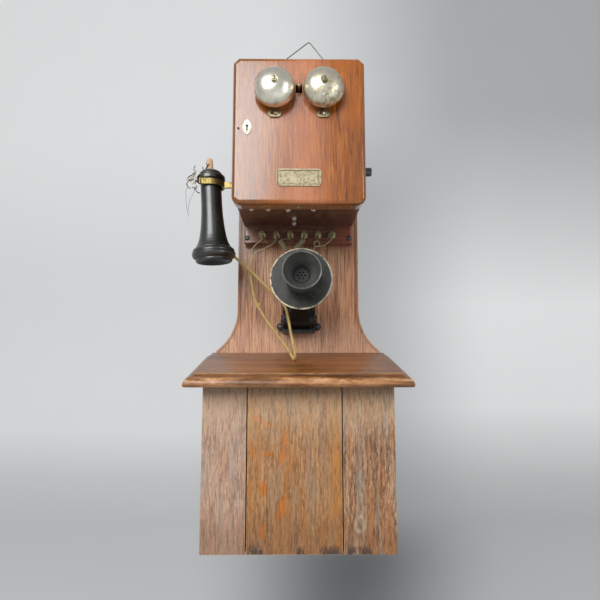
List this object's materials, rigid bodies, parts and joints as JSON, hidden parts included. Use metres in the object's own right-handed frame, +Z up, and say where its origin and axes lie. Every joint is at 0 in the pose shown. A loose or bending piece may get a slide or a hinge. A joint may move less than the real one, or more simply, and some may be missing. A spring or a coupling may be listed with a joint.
{
  "type": "wall telephone",
  "caption": "Wooden wall telephone with a hand generator: bell box with door, hook and hanging receiver, tilting mouthpiece, sloping shelf and battery box.",
  "frame": {"origin": "centre of the backboard's back face, where it meets the wall", "axes": "+X to the right as seen from the front, +Y into the wall, +Z up; the front looks along -Y"},
  "size_m": [0.3384, 0.2203, 0.8485],
  "materials": {
    "oak_board": "aged varnish, vertical grain",
    "oak_case": "aged varnish, dark",
    "oak_door": "aged varnish, worn corners",
    "oak_shelf": "aged varnish, long grain",
    "oak_battery": "weathered, open pores",
    "black_steel": "blackened",
    "steel": "dull",
    "iron": "soft iron, dull",
    "japanned_iron": "black japan, gloss",
    "nickel": "tarnished plating",
    "brass": "aged",
    "pale_brass": "worn and pale",
    "aluminium": "thin sheet",
    "hard_rubber": "hard rubber, satin",
    "cotton_lead": "cotton-covered wire",
    "cord_braid": "woven braid",
    "coil_cloth": "cloth-covered winding",
    "cell_card": "paper wrapped"
  },
  "bodies": {
    "cabinet": {"backboard": "oak_board", "box_left_side": "oak_case", "box_right_side": "oak_case", "box_top": "oak_case", "box_bottom": "oak_case", "terminal_strip": "oak_case", "wood_screws": "black_steel", "binding_posts": "nickel", "terminal_leads": "cotton_lead", "underside_terminals": "nickel", "writing_shelf": "oak_shelf", "battery_sides": "oak_battery", "battery_bottom": "oak_battery", "front_dowels": "oak_battery", "dry_cells": "cell_card", "induction_coil": "coil_cloth", "hook_bracket": "steel", "hook_springs": "brass", "magnets": "black_steel", "pole_pieces": "iron", "generator_plates": "brass", "crank_bush": "brass", "arm_base": "japanned_iron", "arm_pin": "black_steel", "hinge_box_leaves": "brass", "hinge_pins": "brass", "hanging_wire": "steel", "receiver_cord": "cord_braid"},
    "door": {"door_panel": "oak_door", "gongs": "nickel", "gong_stands": "nickel", "gong_screws": "nickel", "bare_plate": "pale_brass", "keyhole_plate": "nickel", "lock_case": "brass", "ringer_frame": "iron", "ringer_coils": "coil_cloth", "ringer_magnet": "black_steel", "hinge_door_leaves": "brass"},
    "striker": {"striker": "brass"},
    "lock_bolt": {"lock_bolt": "steel"},
    "transmitter": {"transmitter_arm": "japanned_iron", "transmitter_cup": "japanned_iron", "face_plate": "japanned_iron", "diaphragm": "aluminium", "carbon_button": "brass", "mouthpiece": "hard_rubber"},
    "receiver": {"receiver_shell": "hard_rubber", "ear_cap": "hard_rubber", "receiver_head": "hard_rubber", "receiver_magnet": "steel", "receiver_diaphragm": "steel", "receiver_cord_end": "cord_braid"},
    "hook": {"hook_lever": "brass"},
    "crank": {"crank_shaft": "black_steel", "drive_gear": "brass"},
    "armature": {"armature": "iron"},
    "battery_front": {"front_boards": "oak_battery", "front_battens": "oak_battery"}
  },
  "joints": [
    {"name": "door_hinge", "type": "hinge", "parent": "cabinet", "child": "door", "pos_m": [0.0955, -0.1552, 0.2145], "axis": [0, 0, 1], "range_deg": [0, 105]},
    {"name": "striker_rock", "type": "hinge", "parent": "door", "child": "striker", "pos_m": [0, -0.1354, 0.205], "axis": [0, 1, 0], "range_deg": [-1.8, 1.8], "stiffness_Nm_per_rad": 0.05},
    {"name": "lock_throw", "type": "slide", "parent": "door", "child": "lock_bolt", "axis": [-1, 0, 0], "range_m": [0, 0.005]},
    {"name": "transmitter_tilt", "type": "hinge", "parent": "cabinet", "child": "transmitter", "pos_m": [0.004, -0.046, -0.053], "axis": [-1, 0, 0], "range_deg": [-15, 20]},
    {"name": "receiver_lift", "type": "slide", "parent": "cabinet", "child": "receiver", "axis": [-0.9659, 0, 0.2588], "range_m": [0, 0.085]},
    {"name": "hook_rise", "type": "hinge", "parent": "cabinet", "child": "hook", "pos_m": [-0.06, -0.095, 0.16], "axis": [0, 1, 0], "range_deg": [0, 8]},
    {"name": "crank_turn", "type": "hinge", "parent": "cabinet", "child": "crank", "pos_m": [0.1, -0.085, 0.187], "axis": [1, 0, 0], "continuous": true},
    {"name": "armature_spin", "type": "hinge", "parent": "cabinet", "child": "armature", "pos_m": [0.03, -0.085, 0.142], "axis": [1, 0, 0], "continuous": true},
    {"name": "battery_front_pull", "type": "slide", "parent": "cabinet", "child": "battery_front", "axis": [0, -1, 0], "range_m": [0, 0.12]}
  ],
  "couplings": [
    {"joint": "hook_rise", "follows": "receiver_lift", "rad_per_m": 1.64},
    {"joint": "armature_spin", "follows": "crank_turn", "ratio": -5}
  ]
}
